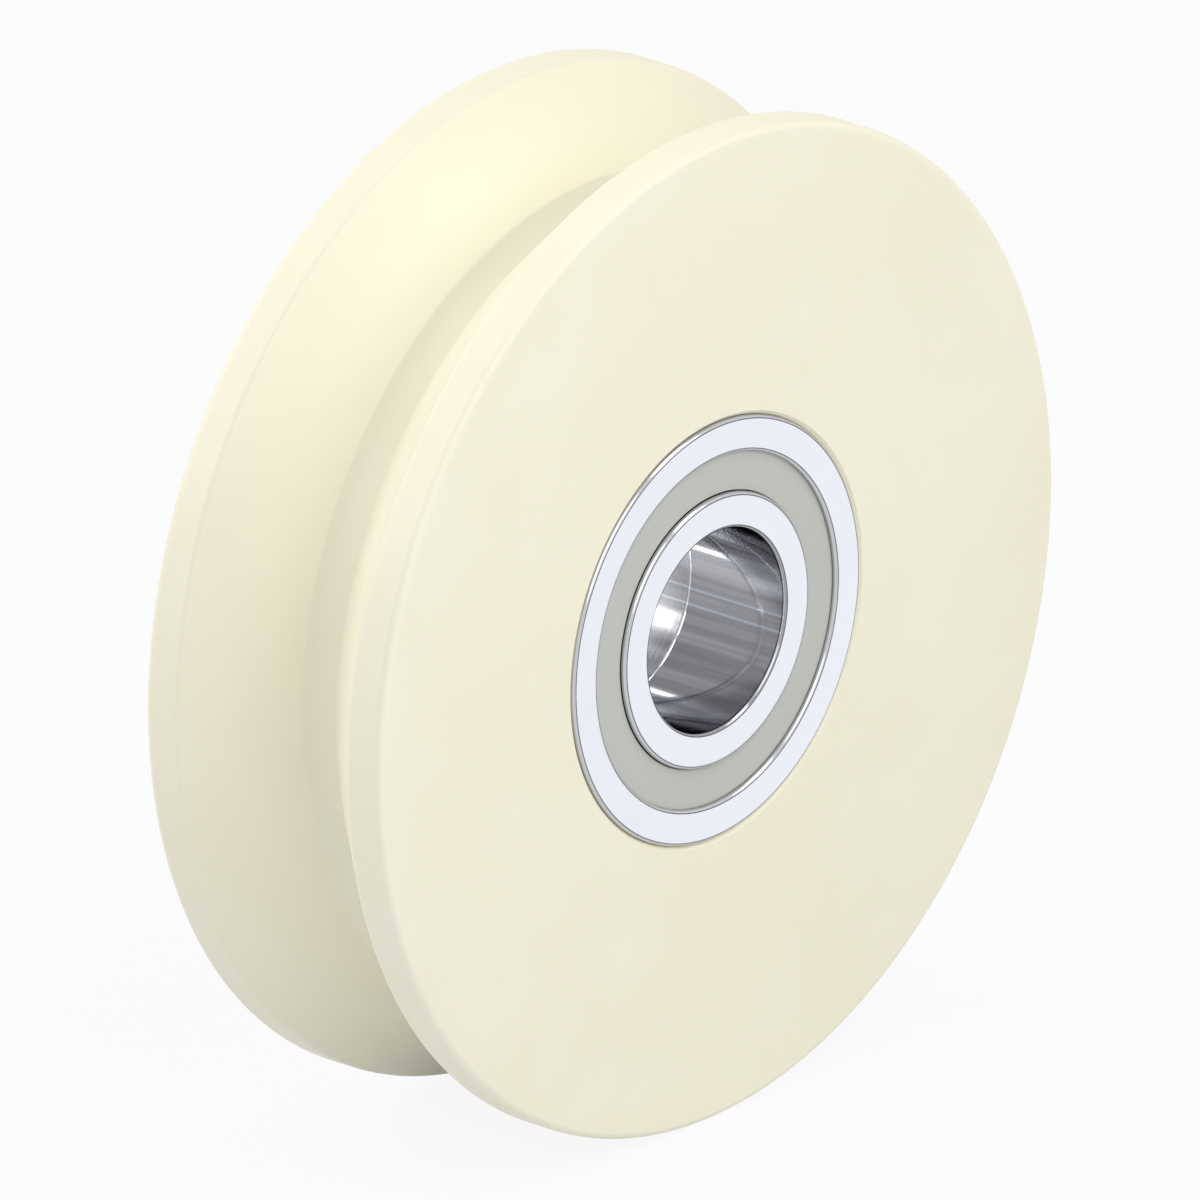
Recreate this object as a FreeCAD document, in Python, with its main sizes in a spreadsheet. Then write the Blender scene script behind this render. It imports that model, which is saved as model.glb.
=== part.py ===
import FreeCAD, Part
import math
import os

import Sketcher

# A flanged wheel: a cast nylon wheel with a V-shaped running groove between two flanges, turning on two
# sealed ball bearings that a sleeve holds apart. The axle lies along Y through the origin, which is the
# wheel's centre, and the front face looks towards -Y. Lengths are in millimetres, angles in degrees.

SIZES = {
    "wheel_diameter": (99.0, "over the two flanges"),
    "rim_land": (3.9, "flat width of each flange's rim"),
    "groove_angle": (90.0, "between the two flanks of the running groove"),
    "groove_bottom_width": (4.1, "flat bottom of the running groove"),
    "groove_corner_radius": (0.5, "rounding between the groove's bottom and its flanks"),
    "rim_edge_radius": (0.75, "rounding of the flanges' edges"),
    "seat_chamfer": (0.4, "lead-in at the mouth of each bearing seat"),
    "shoulder_height": (2.5, "step inside the wheel that an outer ring is pressed against"),
    "seat_clearance": (0.02, "radial, an outer ring in its seat"),
    "bearing_bore": (20.0, "for the axle"),
    "bearing_outer": (42.0, "outer ring's outside diameter"),
    "bearing_width": (12.0, "both rings"),
    "bearing_proud": (0.1, "how far a bearing stands out of the wheel's face"),
    "bearing_spacing": (5.0, "between the two bearings, kept by the sleeve"),
    "ring_gap": (3.92, "radial, between the shoulders of the two rings"),
    "ring_edge_radius": (0.4, "rounding of the rings' edges"),
    "ball_diameter": (6.35, "one ball"),
    "ball_count": (9, "balls in one bearing"),
    "ball_clearance": (0.03, "radial, a ball at the bottom of its raceway"),
    "race_relief": (0.13, "how much larger a raceway's radius is than a ball's"),
    "pocket_clearance": (0.12, "a ball in its cage pocket"),
    "cage_gauge": (0.5, "sheet thickness of the pressed cage"),
    "cage_band": (2.4, "radial width of the cage's ribbon"),
    "rivet_diameter": (1.2, "shank through both halves of the cage"),
    "rivet_clearance": (0.02, "radial, a rivet in its hole"),
    "rivet_head_diameter": (1.9, "both heads"),
    "rivet_head_height": (0.4, "both heads"),
    "rivet_head_radius": (0.3, "rounding of the heads"),
    "seal_recess": (0.55, "a seal's face below the rings' faces"),
    "seal_thickness": (0.9, "a seal at its rim"),
    "seal_lip": (0.4, "a seal at its inner edge"),
    "seal_bite": (0.8, "how deep the groove for a seal's rim is"),
    "seal_rim_clearance": (0.05, "radial, a seal's rim in its groove"),
    "seal_lip_clearance": (0.08, "radial, a seal's lip round the inner ring"),
    "sleeve_wall": (2.5, "radial thickness of the sleeve"),
    "sleeve_clearance": (0.3, "radial, how much wider the sleeve's bore is than the rings'"),
    "sleeve_chamfer": (0.1, "edges of the sleeve"),
}

# Sizes that follow from the ones above
WHEEL_RADIUS = "(sizes.wheel_diameter / 2)"
HUB_LENGTH = "(2 * sizes.bearing_width + sizes.bearing_spacing)"
WHEEL_WIDTH = f"({HUB_LENGTH} - 2 * sizes.bearing_proud)"
SEAT_DEPTH = "(sizes.bearing_width - sizes.bearing_proud)"
SEAT_RADIUS = "(sizes.bearing_outer / 2 + sizes.seat_clearance)"
SHOULDER_RADIUS = "(sizes.bearing_outer / 2 - sizes.shoulder_height)"
FLANK_WIDTH = f"(({WHEEL_WIDTH} - sizes.groove_bottom_width) / 2 - sizes.rim_land)"
GROOVE_BOTTOM = f"({WHEEL_RADIUS} - {FLANK_WIDTH} / tan(sizes.groove_angle / 2))"
PITCH_RADIUS = "((sizes.bearing_bore + sizes.bearing_outer) / 4)"
INNER_SHOULDER = f"({PITCH_RADIUS} - sizes.ring_gap / 2)"
OUTER_SHOULDER = f"({PITCH_RADIUS} + sizes.ring_gap / 2)"
RACE_RADIUS = "(sizes.ball_diameter / 2 + sizes.race_relief)"
INNER_RACE_CENTRE = f"({PITCH_RADIUS} + sizes.race_relief - sizes.ball_clearance)"
OUTER_RACE_CENTRE = f"({PITCH_RADIUS} - sizes.race_relief + sizes.ball_clearance)"
SEAL_GROOVE_RADIUS = f"({OUTER_SHOULDER} + sizes.seal_bite)"
SEAL_BACK = "(sizes.seal_recess + sizes.seal_thickness)"
POCKET_RADIUS = "(sizes.ball_diameter / 2 + sizes.pocket_clearance)"
POCKET_OUTSIDE = f"({POCKET_RADIUS} + sizes.cage_gauge)"
CAGE_INSIDE = f"({PITCH_RADIUS} - sizes.cage_band / 2)"
CAGE_OUTSIDE = f"({PITCH_RADIUS} + sizes.cage_band / 2)"
RIVET_HALF = "(sizes.cage_gauge + sizes.rivet_head_height)"
HALF_PITCH = "(180 / sizes.ball_count)"

NEAR = 1e-6

doc = FreeCAD.newDocument("flanged_wheel")
pieces = []


# Helpers

def make_sheet():
    """The sheet of driving sizes, each with its alias and a note."""
    sheet = doc.addObject("Spreadsheet::Sheet", "sizes")
    for row, (alias, (value, note)) in enumerate(SIZES.items(), start=1):
        sheet.set(f"A{row}", alias)
        sheet.set(f"B{row}", str(value))
        sheet.setAlias(f"B{row}", alias)
        sheet.set(f"C{row}", note)
    doc.recompute()
    return sheet


def make_body(name):
    """A new piece, named for its file."""
    body = doc.addObject("PartDesign::Body", name)
    body.Label = name
    pieces.append(body)
    return body


def origin_feature(body, role):
    """One of the body's own origin planes or axes."""
    return next(f for f in body.Origin.OriginFeatures if f.Role == role)


def make_sketch(body, name, plane):
    """An empty sketch on one of the body's origin planes."""
    sketch = body.newObject("Sketcher::SketchObject", f"{body.Name}_{name}")
    sketch.AttachmentSupport = (origin_feature(body, plane), [""])
    sketch.MapMode = "FlatFace"
    return sketch


def value(sketch, size):
    """What a size comes to, as a number; None stands for zero."""
    return 0.0 if size is None else float(sketch.evalExpression(size))


def tie_radius(sketch, curve, radius):
    """Holds the radius of a circle or an arc at a size."""
    number = sketch.addConstraint(Sketcher.Constraint("Radius", curve, value(sketch, radius)))
    sketch.setExpression(f"Constraints[{number}]", radius)


def tie_point(sketch, geometry, end, across, along):
    """Holds a point of the sketch at two sizes; None keeps it on an axis, a leading minus puts it beyond."""
    vertical_axis, horizontal_axis = -2, -1
    origin = (-1, 1)
    for kind, size, axis in (("DistanceX", across, vertical_axis), ("DistanceY", along, horizontal_axis)):
        if size is None:
            sketch.addConstraint(Sketcher.Constraint("PointOnObject", geometry, end, axis))
            continue
        length = size.removeprefix("-")
        first, last = origin, (geometry, end)
        if size.startswith("-"):
            first, last = last, first
        number = sketch.addConstraint(Sketcher.Constraint(kind, *first, *last, value(sketch, length)))
        sketch.setExpression(f"Constraints[{number}]", length)


def add_outline(sketch, corners):
    """A closed outline through corners that are pairs of sizes, rounded where a third size is a radius."""
    count = len(corners)
    points = [FreeCAD.Vector(value(sketch, across), value(sketch, along), 0) for across, along, *_ in corners]
    line_ends = []
    for place, corner in enumerate(corners):
        back = (points[place - 1] - points[place]).normalize()
        onward = (points[(place + 1) % count] - points[place]).normalize()
        radius = value(sketch, corner[2]) if len(corner) == 3 else 0.0
        reach = radius / math.tan(back.getAngle(onward) / 2)
        line_ends.append((points[place] + back * reach, points[place] + onward * reach))
    lines = []
    for place in range(count):
        line = Part.LineSegment(line_ends[place][1], line_ends[(place + 1) % count][0])
        lines.append(sketch.addGeometry(line))
    for place, corner in enumerate(corners):
        line_before, line = lines[place - 1], lines[place]
        if len(corner) == 3:
            round_corner(sketch, line_before, line, points[place], corner)
        else:
            sketch.addConstraint(Sketcher.Constraint("Coincident", line_before, 2, line, 1))
            tie_point(sketch, line, 1, *corner)


def round_corner(sketch, line_before, line, point, corner):
    """Joins two lines by an arc that touches both, and holds the corner that they would have met in."""
    across, along, radius = corner
    first, last = sketch.getPoint(line_before, 2), sketch.getPoint(line, 1)
    inward = ((first + last) / 2 - point).normalize()
    length = value(sketch, radius)
    half_angle = (first - point).getAngle(last - point) / 2
    nearest = point + inward * (length / math.sin(half_angle) - length)
    arc = sketch.addGeometry(Part.Arc(first, nearest, last))
    start, end = (1, 2) if sketch.getPoint(arc, 1).isEqual(first, NEAR) else (2, 1)
    sketch.addConstraint(Sketcher.Constraint("Tangent", line_before, 2, arc, start))
    sketch.addConstraint(Sketcher.Constraint("Tangent", arc, end, line, 1))
    tie_radius(sketch, arc, radius)
    meeting = sketch.addGeometry(Part.Point(point), True)
    sketch.addConstraint(Sketcher.Constraint("PointOnObject", meeting, 1, line_before))
    sketch.addConstraint(Sketcher.Constraint("PointOnObject", meeting, 1, line))
    tie_point(sketch, meeting, 1, across, along)


def add_circle(sketch, across, along, radius):
    """A circle whose centre and radius are sizes."""
    middle = FreeCAD.Vector(value(sketch, across), value(sketch, along), 0)
    circle = sketch.addGeometry(Part.Circle(middle, FreeCAD.Vector(0, 0, 1), value(sketch, radius)))
    tie_point(sketch, circle, 3, across, along)
    tie_radius(sketch, circle, radius)


def turn(body, sketch, kind="PartDesign::Revolution", axis="V_Axis"):
    """Turns a sketch into a ring about the axle, or cuts that ring away."""
    feature = body.newObject(kind, f"{sketch.Name}_turned")
    feature.Profile = sketch
    feature.ReferenceAxis = (sketch, [axis])
    feature.Angle = 360
    doc.recompute()
    return feature


def repeat(body, feature):
    """Repeats a feature once for each ball, round the axle."""
    pattern = body.newObject("PartDesign::PolarPattern", f"{feature.Name}_all_round")
    pattern.Originals = [feature]
    pattern.Axis = (origin_feature(body, "Y_Axis"), [""])
    pattern.Angle = 360
    pattern.setExpression("Occurrences", "sizes.ball_count")
    body.Tip = pattern
    doc.recompute()
    return pattern


def place(piece, along, turned):
    """Sets a piece along the axle, turned end for end about Z where asked."""
    half_turn = 180 if turned else 0
    rotation = FreeCAD.Rotation(FreeCAD.Vector(0, 0, 1), half_turn)
    piece.Placement = FreeCAD.Placement(FreeCAD.Vector(), rotation)
    piece.setExpression("Placement.Base.y", along)


# The wheel and the sleeve

def make_wheel():
    """The nylon wheel: two flanges, the groove between them, and a bearing seat in each face."""
    body = make_body("wheel_body")
    sketch = make_sketch(body, "section", "XY_Plane")
    rim = "sizes.rim_edge_radius"
    corner = "sizes.groove_corner_radius"
    near_flank = f"sizes.rim_land + {FLANK_WIDTH}"
    seat_mouth = f"{SEAT_RADIUS} + sizes.seat_chamfer"
    far_seat = f"{WHEEL_WIDTH} - {SEAT_DEPTH}"
    add_outline(sketch, [
        (WHEEL_RADIUS, None, rim),
        (WHEEL_RADIUS, "sizes.rim_land", rim),
        (GROOVE_BOTTOM, near_flank, corner),
        (GROOVE_BOTTOM, f"{near_flank} + sizes.groove_bottom_width", corner),
        (WHEEL_RADIUS, f"{WHEEL_WIDTH} - sizes.rim_land", rim),
        (WHEEL_RADIUS, WHEEL_WIDTH, rim),
        (seat_mouth, WHEEL_WIDTH),
        (SEAT_RADIUS, f"{WHEEL_WIDTH} - sizes.seat_chamfer"),
        (SEAT_RADIUS, far_seat),
        (SHOULDER_RADIUS, far_seat),
        (SHOULDER_RADIUS, SEAT_DEPTH),
        (SEAT_RADIUS, SEAT_DEPTH),
        (SEAT_RADIUS, "sizes.seat_chamfer"),
        (seat_mouth, None),
    ])
    turn(body, sketch)
    place(body, f"-{WHEEL_WIDTH} / 2", turned=False)


def make_sleeve():
    """The sleeve on the axle that holds the two inner rings apart."""
    body = make_body("spacer_sleeve")
    sketch = make_sketch(body, "section", "XY_Plane")
    inside = "sizes.bearing_bore / 2 + sizes.sleeve_clearance"
    outside = f"{inside} + sizes.sleeve_wall"
    length = "sizes.bearing_spacing"
    cut = "sizes.sleeve_chamfer"
    add_outline(sketch, [
        (f"{inside} + {cut}", None),
        (f"{outside} - {cut}", None),
        (outside, cut),
        (outside, f"{length} - {cut}"),
        (f"{outside} - {cut}", length),
        (f"{inside} + {cut}", length),
        (inside, f"{length} - {cut}"),
        (inside, cut),
    ])
    turn(body, sketch)
    place(body, "-sizes.bearing_spacing / 2", turned=False)


# The pieces of one bearing, each measured along the axle from the bearing's outer face

def make_inner_ring(name):
    """The ring on the axle, with its raceway in the outside."""
    body = make_body(name)
    sketch = make_sketch(body, "section", "XY_Plane")
    bore = "sizes.bearing_bore / 2"
    width = "sizes.bearing_width"
    edge = "sizes.ring_edge_radius"
    add_outline(sketch, [
        (bore, None, edge),
        (INNER_SHOULDER, None, edge),
        (INNER_SHOULDER, width, edge),
        (bore, width, edge),
    ])
    ring = turn(body, sketch)
    cut_raceway(body, ring, INNER_RACE_CENTRE)
    return body


def make_outer_ring(name):
    """The ring in the wheel, with its raceway and a groove for each seal in the inside."""
    body = make_body(name)
    sketch = make_sketch(body, "section", "XY_Plane")
    outside = "sizes.bearing_outer / 2"
    width = "sizes.bearing_width"
    edge = "sizes.ring_edge_radius"
    add_outline(sketch, [
        (OUTER_SHOULDER, None, edge),
        (outside, None, edge),
        (outside, width, edge),
        (OUTER_SHOULDER, width, edge),
        (OUTER_SHOULDER, f"{width} - sizes.seal_recess"),
        (SEAL_GROOVE_RADIUS, f"{width} - sizes.seal_recess"),
        (SEAL_GROOVE_RADIUS, f"{width} - {SEAL_BACK}"),
        (OUTER_SHOULDER, f"{width} - {SEAL_BACK}"),
        (OUTER_SHOULDER, SEAL_BACK),
        (SEAL_GROOVE_RADIUS, SEAL_BACK),
        (SEAL_GROOVE_RADIUS, "sizes.seal_recess"),
        (OUTER_SHOULDER, "sizes.seal_recess"),
    ])
    ring = turn(body, sketch)
    cut_raceway(body, ring, OUTER_RACE_CENTRE)
    return body


def cut_raceway(body, ring, centre):
    """Turns the ball's raceway into a ring, and makes sure that it took metal away."""
    sketch = make_sketch(body, "raceway", "XY_Plane")
    add_circle(sketch, centre, "sizes.bearing_width / 2", RACE_RADIUS)
    raceway = turn(body, sketch, "PartDesign::Groove")
    if raceway.Shape.Volume > ring.Shape.Volume - NEAR:
        raise RuntimeError(f"{body.Label}: the raceway cut nothing")


def make_seal(name):
    """A moulded seal: its rim sits in the outer ring's groove, its thin lip runs round the inner ring."""
    body = make_body(name)
    sketch = make_sketch(body, "section", "XY_Plane")
    lip_radius = f"{INNER_SHOULDER} + sizes.seal_lip_clearance"
    rim_radius = f"{SEAL_GROOVE_RADIUS} - sizes.seal_rim_clearance"
    add_outline(sketch, [
        (lip_radius, "sizes.seal_recess"),
        (rim_radius, "sizes.seal_recess"),
        (rim_radius, SEAL_BACK),
        (PITCH_RADIUS, SEAL_BACK),
        (lip_radius, "sizes.seal_recess + sizes.seal_lip"),
    ])
    turn(body, sketch)
    return body


def make_cage_half(name):
    """Half of the pressed cage: a flat ribbon with a cup over each ball and a rivet hole between the cups."""
    body = make_body(name)
    sketch = make_sketch(body, "blank", "XY_Plane")
    blank_inside = f"{CAGE_INSIDE} - sizes.cage_gauge"
    blank_outside = f"{CAGE_OUTSIDE} + sizes.cage_gauge"
    add_outline(sketch, [
        (blank_inside, "-sizes.cage_gauge"),
        (blank_outside, "-sizes.cage_gauge"),
        (blank_outside, "sizes.cage_gauge"),
        (blank_inside, "sizes.cage_gauge"),
    ])
    turn(body, sketch)
    cup = make_ball_shape(body, "PartDesign::AdditiveSphere", "cup", POCKET_OUTSIDE)
    repeat(body, cup)
    trim = make_sketch(body, "trim", "XY_Plane")
    near_side = f"{PITCH_RADIUS} - sizes.ball_diameter"
    far_side = f"{PITCH_RADIUS} + sizes.ball_diameter"
    add_outline(trim, [
        (near_side, "-sizes.ball_diameter"),
        (far_side, "-sizes.ball_diameter"),
        (far_side, "sizes.ball_diameter"),
        (CAGE_OUTSIDE, "sizes.ball_diameter"),
        (CAGE_OUTSIDE, None),
        (CAGE_INSIDE, None),
        (CAGE_INSIDE, "sizes.ball_diameter"),
        (near_side, "sizes.ball_diameter"),
    ])
    turn(body, trim, "PartDesign::Groove")
    pocket = make_ball_shape(body, "PartDesign::SubtractiveSphere", "pocket", POCKET_RADIUS)
    repeat(body, pocket)
    hole_sketch = make_sketch(body, "rivet_hole", "XZ_Plane")
    hole_radius = "sizes.rivet_diameter / 2 + sizes.rivet_clearance"
    sideways = f"{PITCH_RADIUS} * sin({HALF_PITCH})"
    upwards = f"{PITCH_RADIUS} * cos({HALF_PITCH})"
    add_circle(hole_sketch, sideways, upwards, hole_radius)
    hole = body.newObject("PartDesign::Pocket", f"{name}_hole")
    hole.Profile = hole_sketch
    hole.Type = "ThroughAll"
    hole.Midplane = True
    repeat(body, hole)
    return body


def make_ball_shape(body, kind, name, radius):
    """A ball at the top of the pitch circle, with its pole along the axle, added or cut away."""
    ball = body.newObject(kind, f"{body.Name}_{name}")
    ball.Placement = FreeCAD.Placement(FreeCAD.Vector(), FreeCAD.Rotation(FreeCAD.Vector(1, 0, 0), -90))
    ball.setExpression("Placement.Base.z", PITCH_RADIUS)
    ball.setExpression("Radius", radius)
    doc.recompute()
    return ball


def make_rivets(name):
    """The rivets of one cage, as a group of separate solids: two heads and a shank each."""
    body = make_body(name)
    sketch = make_sketch(body, "section", "YZ_Plane")
    shank = f"{PITCH_RADIUS} + sizes.rivet_diameter / 2"
    head = f"{PITCH_RADIUS} + sizes.rivet_head_diameter / 2"
    near_head = "sizes.rivet_head_height"
    far_head = f"{near_head} + 2 * sizes.cage_gauge"
    length = f"2 * {RIVET_HALF}"
    dome = "sizes.rivet_head_radius"
    corners = [
        (None, PITCH_RADIUS),
        (None, head, dome),
        (near_head, head),
        (near_head, shank),
        (far_head, shank),
        (far_head, head),
        (length, head, dome),
        (length, PITCH_RADIUS),
    ]
    add_outline(sketch, corners)
    closing_line = len(corners) - 1
    ends = [sketch.getPoint(closing_line, end) for end in (1, 2)]
    centre_line = sketch.addGeometry(Part.LineSegment(*ends), True)
    sketch.addConstraint(Sketcher.Constraint("Coincident", centre_line, 1, closing_line, 1))
    sketch.addConstraint(Sketcher.Constraint("Coincident", centre_line, 2, closing_line, 2))
    turned = turn(body, sketch, axis="Axis0")
    repeat(body, turned)
    return body


def make_balls(side, middle):
    """The balls of one bearing, each a piece of its own, spaced round the pitch circle from the top."""
    for number in range(int(SIZES["ball_count"][0])):
        ball = doc.addObject("Part::Sphere", f"{side}_ball_{number + 1}")
        ball.Label = ball.Name
        angle = f"({number} * 360 / sizes.ball_count)"
        ball.setExpression("Radius", "sizes.ball_diameter / 2")
        ball.setExpression("Placement.Base.x", f"{PITCH_RADIUS} * sin({angle})")
        ball.setExpression("Placement.Base.y", middle)
        ball.setExpression("Placement.Base.z", f"{PITCH_RADIUS} * cos({angle})")
        pieces.append(ball)


def make_bearing(side, face, back, turned):
    """One sealed ball bearing between its outer face and its back, turned end for end at the rear."""
    middle = f"({face} + {back}) / 2"
    place(make_outer_ring(f"{side}_outer_ring"), face, turned)
    place(make_inner_ring(f"{side}_inner_ring"), face, turned)
    place(make_seal(f"{side}_outer_seal"), face, turned)
    place(make_seal(f"{side}_inner_seal"), back, not turned)
    place(make_cage_half(f"{side}_cage_outer_half"), middle, not turned)
    place(make_cage_half(f"{side}_cage_inner_half"), middle, turned)
    rivets = make_rivets(f"{side}_cage_rivets")
    rivets.Placement = FreeCAD.Placement(FreeCAD.Vector(), FreeCAD.Rotation(FreeCAD.Vector(0, 1, 0), 1))
    rivets.setExpression("Placement.Base.y", f"{middle} - {RIVET_HALF}")
    rivets.setExpression("Placement.Rotation.Angle", HALF_PITCH)
    make_balls(side, middle)


def check_pieces():
    """Stops if any feature failed or any piece has no sound solid."""
    for item in doc.Objects:
        if "Invalid" in item.State or "Error" in item.State:
            raise RuntimeError(f"{item.Label} failed")
    for piece in pieces:
        shape = piece.Shape
        wanted = SIZES["ball_count"][0] if piece.Label.endswith("rivets") else 1
        if shape.isNull() or not shape.isValid() or len(shape.Solids) != wanted:
            raise RuntimeError(f"{piece.Label} is not made of {wanted} sound solids")


make_sheet()
make_wheel()
make_sleeve()
make_bearing("front", f"-{HUB_LENGTH} / 2", "-sizes.bearing_spacing / 2", turned=False)
make_bearing("rear", f"{HUB_LENGTH} / 2", "sizes.bearing_spacing / 2", turned=True)
doc.recompute()
check_pieces()

os.makedirs("parts", exist_ok=True)
for piece in pieces:
    piece.Shape.exportStep(os.path.join("parts", f"{piece.Label}.step"))
    print(piece.Label, len(piece.Shape.Solids), round(piece.Shape.Volume, 2))
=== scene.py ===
"""A flanged nylon wheel on two sealed ball bearings, dressed for a studio picture.

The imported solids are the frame. The pieces that are turned about the axle are turned here once more from the same
sections at a finer step, the balls and rivets are set round the pitch circle, and every piece gets its finish.
Lengths are in metres, the axle lies along Y and the front face looks towards -Y.
"""

import math
from typing import NamedTuple

import bpy
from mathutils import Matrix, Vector


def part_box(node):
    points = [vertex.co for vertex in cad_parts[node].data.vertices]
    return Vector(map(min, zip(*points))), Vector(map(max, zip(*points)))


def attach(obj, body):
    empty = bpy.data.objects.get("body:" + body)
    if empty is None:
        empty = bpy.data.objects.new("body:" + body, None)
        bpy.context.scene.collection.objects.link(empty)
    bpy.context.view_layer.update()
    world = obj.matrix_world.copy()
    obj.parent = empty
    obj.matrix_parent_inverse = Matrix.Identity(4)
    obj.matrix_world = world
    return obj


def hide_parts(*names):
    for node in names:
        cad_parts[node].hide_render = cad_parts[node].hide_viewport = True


bl_info = {
    "name": "Flanged Wheel",
    "version": (1, 0, 0),
    "blender": (4, 5, 0),
    "location": "3D View > Sidebar > Flanged Wheel",
    "description": "Turns and finishes a flanged nylon wheel with its ball bearings",
    "category": "Add Mesh",
}

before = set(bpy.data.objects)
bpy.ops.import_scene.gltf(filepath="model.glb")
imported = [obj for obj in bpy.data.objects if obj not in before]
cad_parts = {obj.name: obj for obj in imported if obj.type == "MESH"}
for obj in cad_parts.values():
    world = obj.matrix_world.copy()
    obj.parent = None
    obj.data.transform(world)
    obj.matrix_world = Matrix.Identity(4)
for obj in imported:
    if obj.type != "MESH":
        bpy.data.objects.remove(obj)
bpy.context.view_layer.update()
WHEEL_LOW, WHEEL_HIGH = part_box("wheel_body")
RING_LOW, RING_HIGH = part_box("front_outer_ring")
BALLS_IN_BEARING = sum(name.startswith("front_ball_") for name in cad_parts)

MM = 0.001
SIDES = {"front": -1, "rear": 1}


# Sizes and colours that a user would change

def length(name, description, metres):
    """A length that can be changed."""
    return bpy.props.FloatProperty(name=name, description=description, default=metres, unit="LENGTH", precision=5)


def colour(name, description, red, green, blue):
    """A colour that can be changed."""
    return bpy.props.FloatVectorProperty(
        name=name, description=description, default=(red, green, blue), subtype="COLOR", size=3, min=0, max=1)


def share(name, description, value):
    """A number from 0 to 1 that can be changed."""
    return bpy.props.FloatProperty(
        name=name, description=description, default=value, min=0, max=1, subtype="FACTOR")


def angle(name, description, degrees):
    """An angle that can be changed."""
    return bpy.props.FloatProperty(
        name=name, description=description, default=math.radians(degrees), subtype="ANGLE")


class WheelSizes(bpy.types.PropertyGroup):
    """The nylon wheel's section."""

    radius: length("Radius", "Outside of the flanges", WHEEL_HIGH.x)
    half_width: length("Half Width", "From the wheel's middle to a face", WHEEL_HIGH.y)
    rim_land: length("Rim Land", "Flat width of each flange's rim", 3.9 * MM)
    groove_angle: angle("Groove Angle", "Between the two flanks of the running groove", 90)
    groove_bottom: length("Groove Bottom", "Flat width at the bottom of the groove", 4.1 * MM)
    groove_corner: length("Groove Corner", "Rounding between the groove's bottom and its flanks", 0.5 * MM)
    rim_edge: length("Rim Edge", "Rounding of the flanges' edges", 0.75 * MM)
    seat_radius: length("Seat Radius", "Bearing seat in each face", 21.02 * MM)
    seat_depth: length("Seat Depth", "From a face to the shoulder in its seat", 11.9 * MM)
    shoulder_radius: length("Shoulder Radius", "Opening between the two seats", 18.5 * MM)
    seat_chamfer: length("Seat Chamfer", "Lead-in at the mouth of each seat", 0.4 * MM)


class BearingSizes(bpy.types.PropertyGroup):
    """The pieces of the two bearings and the sleeve between them."""

    face: length("Face", "From the wheel's middle to a bearing's outer face", -RING_LOW.y)
    width: length("Width", "Both rings", RING_HIGH.y - RING_LOW.y)
    bore: length("Bore Radius", "Inside of the inner ring", 10.0 * MM)
    outside: length("Outside Radius", "Outside of the outer ring", RING_HIGH.x)
    ring_gap: length("Ring Gap", "Between the shoulders of the two rings", 3.92 * MM)
    edge: length("Ring Edge", "Rounding of the rings' edges", 0.4 * MM)
    ball: length("Ball Radius", "One ball", 3.175 * MM)
    ball_clearance: length("Ball Clearance", "A ball at the bottom of its raceway", 0.03 * MM)
    race_relief: length("Race Relief", "How much larger a raceway's radius is than a ball's", 0.13 * MM)
    seal_recess: length("Seal Recess", "A seal's face below the rings' faces", 0.55 * MM)
    seal_thickness: length("Seal Thickness", "A seal at its rim", 0.9 * MM)
    seal_lip: length("Seal Lip", "A seal at its inner edge", 0.4 * MM)
    seal_bite: length("Seal Bite", "Depth of the groove for a seal's rim", 0.8 * MM)
    seal_rim_gap: length("Seal Rim Gap", "A seal's rim in its groove", 0.05 * MM)
    seal_lip_gap: length("Seal Lip Gap", "A seal's lip round the inner ring", 0.08 * MM)
    sleeve_gap: length("Sleeve Gap", "How much wider the sleeve's bore is than the rings'", 0.3 * MM)
    sleeve_wall: length("Sleeve Wall", "Thickness of the sleeve", 2.5 * MM)
    sleeve_chamfer: length("Sleeve Chamfer", "Edges of the sleeve", 0.1 * MM)
    cage_gauge: length("Cage Gauge", "Sheet thickness of the cage", 0.5 * MM)
    rivet: length("Rivet Radius", "Shank of a cage rivet", 0.6 * MM)
    rivet_head: length("Rivet Head Radius", "Both heads", 0.95 * MM)
    rivet_head_height: length("Rivet Head Height", "Both heads", 0.4 * MM)
    rivet_head_edge: length("Rivet Head Edge", "Rounding of the heads", 0.3 * MM)

    @property
    def pitch(self):
        """Radius of the circle that the balls' centres lie on."""
        return (self.bore + self.outside) / 2

    @property
    def inner_shoulder(self):
        """Outside of the inner ring."""
        return self.pitch - self.ring_gap / 2

    @property
    def outer_shoulder(self):
        """Inside of the outer ring."""
        return self.pitch + self.ring_gap / 2

    @property
    def middle(self):
        """From the wheel's middle to a bearing's middle."""
        return self.face - self.width / 2

    @property
    def spacing(self):
        """Between the two bearings."""
        return 2 * (self.face - self.width)


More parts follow.
